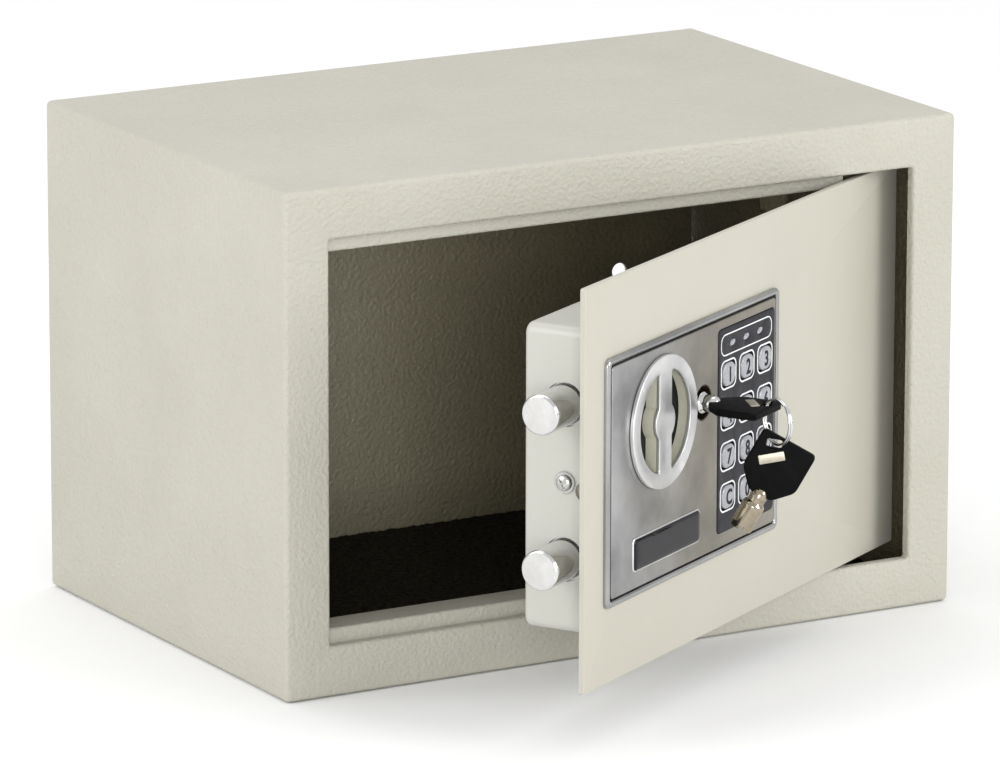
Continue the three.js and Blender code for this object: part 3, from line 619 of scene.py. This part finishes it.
P0, P1, Q0, Q1 = -3.9 - 23.8, -3.9 + 23.8, 103.4 - 41.15, 103.4 + 41.15
flat(bm, [rrect(PX0 + 3.5, PX1 - 3.5, PZ0 + 3.5, PZ1 - 3.5, 1.4, 5), circle(KX, KZ, 24.2, 72), circle(LX, LZ, 7.1, 40), rrect(P0 - 0.2, P1 + 0.2, Q0 - 0.2, Q1 + 0.2, 2.0, 5)], 0.3, 1.75, bev=0.3, segs=3)
xform(bm, FACE)
finish_mesh("face_skin", bm, SILVER, "door", DOOR, ("panel_face",))

# ---- keypad
KEYS = ["1", "2", "3", "4", "5", "6", "7", "8", "9", "clear", "0", "enter"]
LEGEND = ["1", "2", "3", "4", "5", "6", "7", "8", "9", "C", "0", "E"]
centres = [(-4.0 + 15.45 * (i % 3 - 1), 125.7 - 16.6 * (i // 3)) for i in range(12)]
lamps = [(-16.2, 137.8), (-4.6, 137.8), (7.0, 137.8)]
bm = new()
holes = [rrect(x - 5.5, x + 5.5, z - 4.95, z + 4.95, 2.3, 5) for x, z in centres] + [circle(x, z, 1.7, 24) for x, z in lamps]
flat(bm, [rrect(P0, P1, Q0, Q1, 1.8, 6)] + holes, 0.5, 1.98, bev=0.22, segs=2)
xform(bm, FACE)
finish_mesh("membrane_skin", bm, MEMB, "door", DOOR, ("keypad_membrane",))


def outline(name, loops, w0, w1, mat):
    bm = new()
    for outer, inner in loops:
        n = len(outer)
        skin(bm, [[(x, y, w0) for x, y in outer], [(x, y, w1) for x, y in outer], [(x, y, w1) for x, y in inner], [(x, y, w0) for x, y in inner]], close=True)
    xform(bm, FACE)
    return finish_mesh(name, bm, mat, "door", DOOR, ())


outline("key_outlines", [(rrect(x - 6.5, x + 6.5, z - 5.95, z + 5.95, 3.2, 7), rrect(x - 5.85, x + 5.85, z - 5.3, z + 5.3, 2.6, 7)) for x, z in centres]
        + [(rrect(-4.4 - 21.6, -4.4 + 21.6, 137.8 - 4.4, 137.8 + 4.4, 3.6, 8), rrect(-4.4 - 21.1, -4.4 + 21.1, 137.8 - 3.9, 137.8 + 3.9, 3.1, 8))],
        1.95, 2.06, WHITE)


def dome(bm, cx, cz, hx, hz, r, w0, w1, top):
    pts0 = rrect(cx - hx, cx + hx, cz - hz, cz + hz, r, 7)
    rings = [[(x, z, w0) for x, z in pts0]]
    for k in range(0, 7):
        a = math.pi / 2 * k / 6
        s = 0.62 + 0.38 * math.cos(a)
        rings.append([(cx + (x - cx) * s, cz + (z - cz) * s, w1 + (top - w1) * math.sin(a)) for x, z in pts0])
    vr = skin(bm, rings)
    bm.faces.new(vr[0]); bm.faces.new(vr[-1])


for (x, z), k, lab in zip(centres, KEYS, LEGEND):
    bm = new()
    dome(bm, x, z, 5.2, 4.65, 3.9, -1.9, 2.15, 2.8)
    xform(bm, FACE)
    finish_mesh(f"dome_{k}", bm, BUTTON, f"button_{k}_body", DOOR, (f"button_{k}",), angle=60)
    cu = bpy.data.curves.new("legend", "FONT")
    cu.body, cu.align_x, cu.align_y, cu.size, cu.extrude, cu.offset = lab, "CENTER", "CENTER", 8.6, 0.06, 0.26
    cu.resolution_u = 4
    to = bpy.data.objects.new("legend", cu); bpy.context.scene.collection.objects.link(to)
    me = bpy.data.meshes.new_from_object(to.evaluated_get(bpy.context.evaluated_depsgraph_get()))
    bpy.data.objects.remove(to)
    xs = [v.co.x for v in me.vertices]; ys = [v.co.y for v in me.vertices]
    mx, my = (min(xs) + max(xs)) / 2, (min(ys) + max(ys)) / 2
    bm = new(); bm.from_mesh(me)
    for v in bm.verts:
        v.co.x = (v.co.x - mx) * 0.86; v.co.y = (v.co.y - my) * 0.98
        v.co.z = 2.86 if v.co.z > 0 else 2.5
    xform(bm, FACE @ Matrix.Translation((x, z, 0)))
    finish_mesh(f"numeral_{k}", bm, INK, f"button_{k}_body", DOOR, ())

for (x, z), k in zip(lamps, ("left", "middle", "right")):
    bm = new()
    lathe(bm, [(0, 1.4), (1.6, 1.4), (1.6, 2.0), (1.4, 2.2), (1.0, 2.32), (0.5, 2.4), (0, 2.42)], 0, 0, 28)
    xform(bm, FACE @ Matrix.Translation((x, z, 0)) @ Matrix.Rotation(0.25, 4, "Z") @ Matrix.Diagonal((1.45, 0.72, 1, 1)))
    finish_mesh(f"lamp_skin_{k}", bm, LAMP, "door", DOOR, (f"lamp_{k}",), angle=60)
# ---- badge: plain domed plate in a thin bright rim
bm = new()
pts0 = rrect(-97.6, -43.6, 63.6, 76.0, 1.6, 6)
rings = [[(x, z, 1.6) for x, z in pts0]]
for d, w in ((0, 2.1), (0.25, 2.5), (0.7, 2.75), (1.6, 2.9), (3.2, 2.98), (5.2, 3.02)):
    rings.append([(x, z, w) for x, z in rrect(-97.6 + d, -43.6 - d, 63.6 + d, 76.0 - d, max(0.5, 1.6 - d * 0.3), 6)])
vr = skin(bm, rings); bm.faces.new(vr[0]); bm.faces.new(vr[-1])
xform(bm, FACE)
finish_mesh("badge_skin", bm, GLOSS, "door", DOOR, ("name_badge",), angle=60)
bm = new()
ring_plate(bm, -98.2, -43.0, 63.0, 76.6, [(0, 1.7, 2.0), (0, 2.0, 2.0), (0.2, 2.2, 1.9), (0.5, 2.2, 1.7), (0.62, 2.0, 1.6), (0.62, 1.7, 1.6)])
xform(bm, FACE)
finish_mesh("badge_rim", bm, KNOBM, "door", DOOR, (), angle=50)

# ---- handle
def window(side, r, bar, bulge, corner=1.7, n=22):
    """Finger window: circle segment beside the grip bar, with the bar's round bulge."""
    a0, b0 = math.acos(bar / r), math.acos(bar / bulge)
    pts = []
    for i in range(n + 1):
        a = -a0 + 2 * a0 * i / n; pts.append(Vector((r * math.cos(a), r * math.sin(a))))
    pts.append(Vector((bar, (r * math.sin(a0) + bulge * math.sin(b0)) / 2)))
    for i in range(9):
        a = b0 - 2 * b0 * i / 8; pts.append(Vector((bulge * math.cos(a), bulge * math.sin(a))))
    pts.append(Vector((bar, -(r * math.sin(a0) + bulge * math.sin(b0)) / 2)))
    out = []
    m = len(pts)
    for i, p in enumerate(pts):
        e1, e2 = (pts[i - 1] - p), (pts[(i + 1) % m] - p)
        ang = e1.angle(e2)
        if ang < math.radians(140):
            c = min(corner, e1.length * 0.45, e2.length * 0.45)
            if i in (0, n):
                c = min(corner, max(e1.length, e2.length) * 0.45)
            u, v = p + e1.normalized() * min(c, e1.length * 0.49), p + e2.normalized() * min(c, e2.length * 0.49)
            for t in (0, 0.25, 0.5, 0.75, 1):
                out.append(u * (1 - t) ** 2 + p * 2 * t * (1 - t) + v * t * t)
        else:
            out.append(p)
    return [(KX + side * p.x, KZ + p.y) for p in out]


bm = new()
flat(bm, [circle(KX, KZ, 26.5, 120), window(1, 20.6, 5.0, 7.9), window(-1, 20.6, 5.0, 7.9)], 2.0, 3.45, bev=0.4, segs=3)
xform(bm, FACE)
finish_mesh("handle_face", bm, KNOBM, "handle", DOOR, ("knob_face",), angle=40)
bm = new()
# the cup's inner floor and its fillet (index 1) take the black finish as painted shade in the deep recess
lathe(bm, [(0, -8), (22.4, -8), (23, -7.4), (23, 1.9), (21.4, 1.9), (21.4, -2.4), (21.3, -2.7), (21.0, -2.9), (0, -2.9)], KX, KZ, 96, [0, 0, 0, 0, 0, 1, 1, 1])
n0 = len(bm.verts)
r, b, g = 21.35, 4.8, 7.7
a0, b0 = math.acos(b / r), math.acos(b / g)
pts = []
for i in range(9):
    a = a0 + (math.pi - 2 * a0) * i / 8; pts.append((r * math.cos(a), r * math.sin(a)))
for i in range(13):
    a = math.pi - b0 + 2 * b0 * i / 12; pts.append((g * math.cos(a), g * math.sin(a)))
full = pts + [(-x, -y) for x, y in pts]
full = [(KX + x, KZ + y) for x, y in full]
flat(bm, [full], -6.6, 1.9, bev=0.4, segs=2)
xform(bm, FACE)
finish_mesh("handle_cup", bm, [BEIGE, DARK_GROOVE_AND_SHADE], "handle", DOOR, ("knob_cup",), angle=40)

# ---- lock
bm = new()
lathe(bm, [(5.0, -2.2), (5.2, -1.9), (6.4, -1.9), (6.7, -2.2), (6.7, -16), (5.0, -16), (5.0, -2.2)], LX, LZ, 64)
xform(bm, FACE)
finish_mesh("lock_sleeve", bm, LOCKM, "door", DOOR, ("lock_body",), angle=40)
bm = new()
lathe(bm, [(0, -0.3), (2.1, -0.3), (2.5, -0.55), (2.75, -0.9), (2.8, -9.8), (4.6, -9.8), (4.6, -17.5), (0, -17.5)], LX, LZ, 48)
xform(bm, FACE)
finish_mesh("lock_post", bm, BRASS, "lock_core", DOOR, ("lock_plug",), angle=35)

bm = new()
lathe(bm, [(6.72, 1.5), (7.02, 1.5), (7.02, -2.6), (6.72, -2.6), (6.72, 1.5)], LX, LZ, 64)
xform(bm, FACE)
finish_mesh("lock_liner", bm, LOCKM, "door", DOOR, (), angle=40)

# ---- keys
def key_outline(grow=0.0):
    P = [(-4.8, 0), (-11.7, -7.5), (-11.7, -24.5), (11.7, -24.5), (11.7, -7.5), (4.8, 0)]
    r, out = 2.0, []
    m = len(P)
    for i in range(m):
        a, p, b = Vector(P[i - 1]), Vector(P[i]), Vector(P[(i + 1) % m])
        u, v = p + (a - p).normalized() * r, p + (b - p).normalized() * r
        for t in (0, 0.2, 0.4, 0.6, 0.8, 1):
            out.append(tuple(u * (1 - t) ** 2 + p * 2 * t * (1 - t) + v * t * t))
    return out


def turned_box(cx, cy, w, h, r, deg, n=4):
    c, q = math.cos(math.radians(deg)), math.sin(math.radians(deg))
    return [(cx + x * c - y * q, cy + x * q + y * c) for x, y in rrect(-w / 2, w / 2, -h / 2, h / 2, r, n)]


def key(prefix, body, matrix, head_node, shaft_node, shaft_mat, tag):
    bm = new()
    sd = -tag                                  # side of the ring corner
    loops = [key_outline(), turned_box(sd * 5.2, -21.0, 6.6, 3.6, 1.2, sd * 20)]
    flat(bm, loops, 0, 1.55, bev=0.55, segs=4)
    # second half mirrored, so that both faces are rounded
    geom = bmesh.ops.duplicate(bm, geom=bm.verts[:] + bm.edges[:] + bm.faces[:])["geom"]
    for v in [g for g in geom if isinstance(g, bmesh.types.BMVert)]:
        v.co.z = -v.co.z
    finish_mesh(f"{prefix}_grip", bm, KEYBLK, body, matrix, (head_node,), angle=40)
    bm = new()
    lathe(bm, [(0, -3.2), (1.4, -3.0), (2.5, -2.3), (3.2, -1.2), (3.5, 0.0), (3.55, 1.2), (3.2, 1.5), (0, 1.5)], 0, 0, 48)
    xform(bm, Matrix.Rotation(-math.pi / 2, 4, "X"))
    finish_mesh(f"{prefix}_neck", bm, shaft_mat, body, matrix, (), angle=40)
    bm = new()
    # barrel: collar, neck, cone, tube with a drive notch and a location lug
    n = 64
    prof = [(0, 1.0), (3.0, 1.0), (3.4, 1.3), (3.4, 3.0), (3.6, 3.2), (4.3, 4.0), (4.55, 4.4), (4.6, 4.8), (4.6, 14.9), (4.45, 15.2), (3.35, 15.2), (3.2, 14.9), (3.2, 5.4), (0, 5.4)]
    lathe(bm, prof, 0, 0, n)
    xform(bm, Matrix.Rotation(-math.pi / 2, 4, "X"))
    o = finish_mesh(f"{prefix}_barrel", bm, shaft_mat, body, matrix, (shaft_node,), angle=32)
    cb = new()
    block(cb, -1.1, 1.1, 12.6, 17, 2.0, 6.0)
    block(cb, -0.9, 0.9, 13.4, 17, -6.0, -2.0)
    bmesh.ops.recalc_face_normals(cb, faces=cb.faces)
    me = bpy.data.meshes.new("cut"); cb.to_mesh(me); cb.free(); me.transform(Matrix.Scale(MM, 4) @ matrix)
    c = bpy.data.objects.new("cut", me); bpy.context.scene.collection.objects.link(c)
    md = o.modifiers.new("cut", "BOOLEAN"); md.operation, md.object, md.solver = "DIFFERENCE", c, "EXACT"
    nm = bpy.data.meshes.new_from_object(o.evaluated_get(bpy.context.evaluated_depsgraph_get())); o.modifiers.clear(); o.data = nm
    bpy.data.objects.remove(c)
    o.data.shade_smooth(); o.data.set_sharp_from_angle(angle=math.radians(32))
    if tag:
        bm = new()
        flat(bm, [turned_box(sd * 3.3, -15.6, 10.3, 3.7, 0.4, sd * 40)], 1.45, 1.8, bev=0.12, segs=2)
        if tag > 0:
            for v in bm.verts:
                v.co.z = -v.co.z
        finish_mesh(f"{prefix}_tag", bm, TAG, body, matrix, ())


K1 = DOOR @ Matrix.Translation((LX, -6, LZ))
key("key_a", "key_1", K1, "key_1_head", "key_1_shaft", CHROME, -1)
RX, RY, RZ, RR = -39.2, -33.9, 114.5, 9.0
RINGM = DOOR @ Matrix.Translation((RX, RY, RZ)) @ Matrix.Rotation(math.radians(-118.75), 4, "Z")
K2 = (DOOR @ Matrix.Translation((RX, RY, RZ - RR)) @ Matrix.Rotation(math.radians(-155 + 90), 4, "Z")
      @ Matrix.Rotation(math.radians(29), 4, "Y") @ Matrix.Translation((4.0, 0, -21.1)) @ Matrix.Rotation(-math.pi / 2, 4, "X"))
key("key_b", "key_2", K2, "key_2_head", "key_2_shaft", BRASS, 1)


def split_ring():
    bm = new()
    n, hw, hr = 200, 0.42, 0.42
    rings = []
    for i in range(n + 1):
        t = i / n
        a = math.radians(55) + t * 2 * math.pi * 1.97
        s = min(1, max(0, (t - 0.44) / 0.12)); s = s * s * (3 - 2 * s)
        y = -0.5 + 1.0 * s
        c, q = math.cos(a), math.sin(a)
        sec = [(-hr, -hw * 0.7), (-hr * 0.7, -hw), (hr * 0.7, -hw), (hr, -hw * 0.7), (hr, hw * 0.7), (hr * 0.7, hw), (-hr * 0.7, hw), (-hr, hw * 0.7)]
        rings.append([((RR + u) * c, y + w, (RR + u) * q) for u, w in sec])
    vr = skin(bm, rings); bm.faces.new(vr[0]); bm.faces.new(vr[-1])
    return finish_mesh("ring_skin", bm, CHROME, "ring", RINGM, ("key_ring",), angle=50)


split_ring()

# ---- inside face of the door
bm = new()
flat(bm, [rrect(5, 69, 66.5, 138.5, 3, 6)], 0, 1.5, bev=0.5, segs=3)
for zc in (126.9, 130.4, 133.9):
    flat(bm, [rrect(27, 47, zc - 0.6, zc + 0.6, 0.55, 4)], 1.3, 2.3, bev=0.3, segs=2)
xform(bm, Matrix.Translation((0, 33.8, 0)) @ Matrix(((-1, 0, 0, 74), (0, 0, 1, 0), (0, 1, 0, 0), (0, 0, 0, 1))))
finish_mesh("battery_lid", bm, SATIN, "cover", DOOR, ("battery_cover",))
bm = new()
lathe(bm, [(0, -24), (2.6, -24), (2.6, -34.6), (2.4, -35.0), (1.9, -35.25), (0, -35.3)], 74, 150, 32)
xform(bm, FACE)
finish_mesh("reset_cap", bm, RED, "reset", DOOR, ("reset_button",), angle=40)

# carried-over solids inside the door keep their shape and take a finished surface
for name, m in {"battery_tray": TRAY, "battery_1": CELL, "battery_2": CELL, "battery_3": CELL, "battery_4": CELL, "circuit_board": BOARD,
                "solenoid_body": ZINC, "solenoid_plunger": ZINC, "knob_spindle": ZINC, "knob_cam": ZINC, "bolt_carrier": ZINC,
                "lock_nut": ZINC, "lock_cam": ZINC}.items():
    o = N[name]
    o.data.materials.clear(); o.data.materials.append(m)

# ------------------------------------------------------------------ stage, light, camera
bm = new()
bmesh.ops.create_grid(bm, x_segments=1, y_segments=1, size=12000)
me = bpy.data.meshes.new("floor"); bm.to_mesh(me); bm.free(); me.transform(Matrix.Scale(MM, 4)); me.transform(Matrix.Translation((0, 0, -0.0003)))
fl = bpy.data.objects.new("floor", me); bpy.context.scene.collection.objects.link(fl)
fm = surface("floor_paper", (0.86, 0.86, 0.86), (0.88, 0.88, 0.88), 0.9, drift_scale=3, spec=0.1)
me.materials.append(fm)


def area_light(name, loc, target, size, power, size_y=None, colour=(1, 1, 1)):
    d = bpy.data.lights.new(name, "AREA")
    d.shape, d.size, d.size_y, d.energy, d.color = "RECTANGLE", size, size_y or size, power, colour
    o = bpy.data.objects.new(name, d)
    o.location = loc
    o.rotation_mode = "QUATERNION"
    o.rotation_quaternion = (Vector(target) - Vector(loc)).to_track_quat("-Z", "Y")
    bpy.context.scene.collection.objects.link(o)
    return o


area_light("key_left", (-2.3, 0.2, 1.3), (0, 0, 0.1), 1.5, 25)
area_light("front_right", (1.5, -2.0, 1.0), (0, -0.1, 0.1), 1.2, 28)
area_light("overhead", (0.1, 0.5, 2.0), (0, 0, 0.1), 1.8, 11)
area_light("front_fill", (-1.3, -2.6, 0.45), (0, 0.1, 0.1), 1.0, 30)
world = bpy.data.worlds.new("studio"); bpy.context.scene.world = world
world.use_nodes = True
world.node_tree.nodes["Background"].inputs[0].default_value = (1, 1, 1, 1)
world.node_tree.nodes["Background"].inputs[1].default_value = 0.82

cam_d = bpy.data.cameras.new("camera"); cam = bpy.data.objects.new("camera", cam_d)
bpy.context.scene.collection.objects.link(cam)
a, e, rl = math.radians(-30.0415), math.radians(13.8157), math.radians(0.1064)
back = Vector((math.sin(a) * math.cos(e), -math.cos(a) * math.cos(e), math.sin(e)))
fwd = -back
right = fwd.cross(Vector((0, 0, 1))).normalized(); up = right.cross(fwd)
r2 = right * math.cos(rl) + up * math.sin(rl); u2 = -right * math.sin(rl) + up * math.cos(rl)
loc = (fwd * -3243.592 + r2 * 0.4626 + u2 * 87.3148) * MM
cam.matrix_world = Matrix(((r2.x, u2.x, back.x, loc.x), (r2.y, u2.y, back.y, loc.y), (r2.z, u2.z, back.z, loc.z), (0, 0, 0, 1)))
cam_d.sensor_width, cam_d.lens = 36.0, 282.62
cam_d.clip_start, cam_d.clip_end = 0.05, 60
bpy.context.scene.camera = cam

bpy.context.scene.view_settings.view_transform = "Standard"
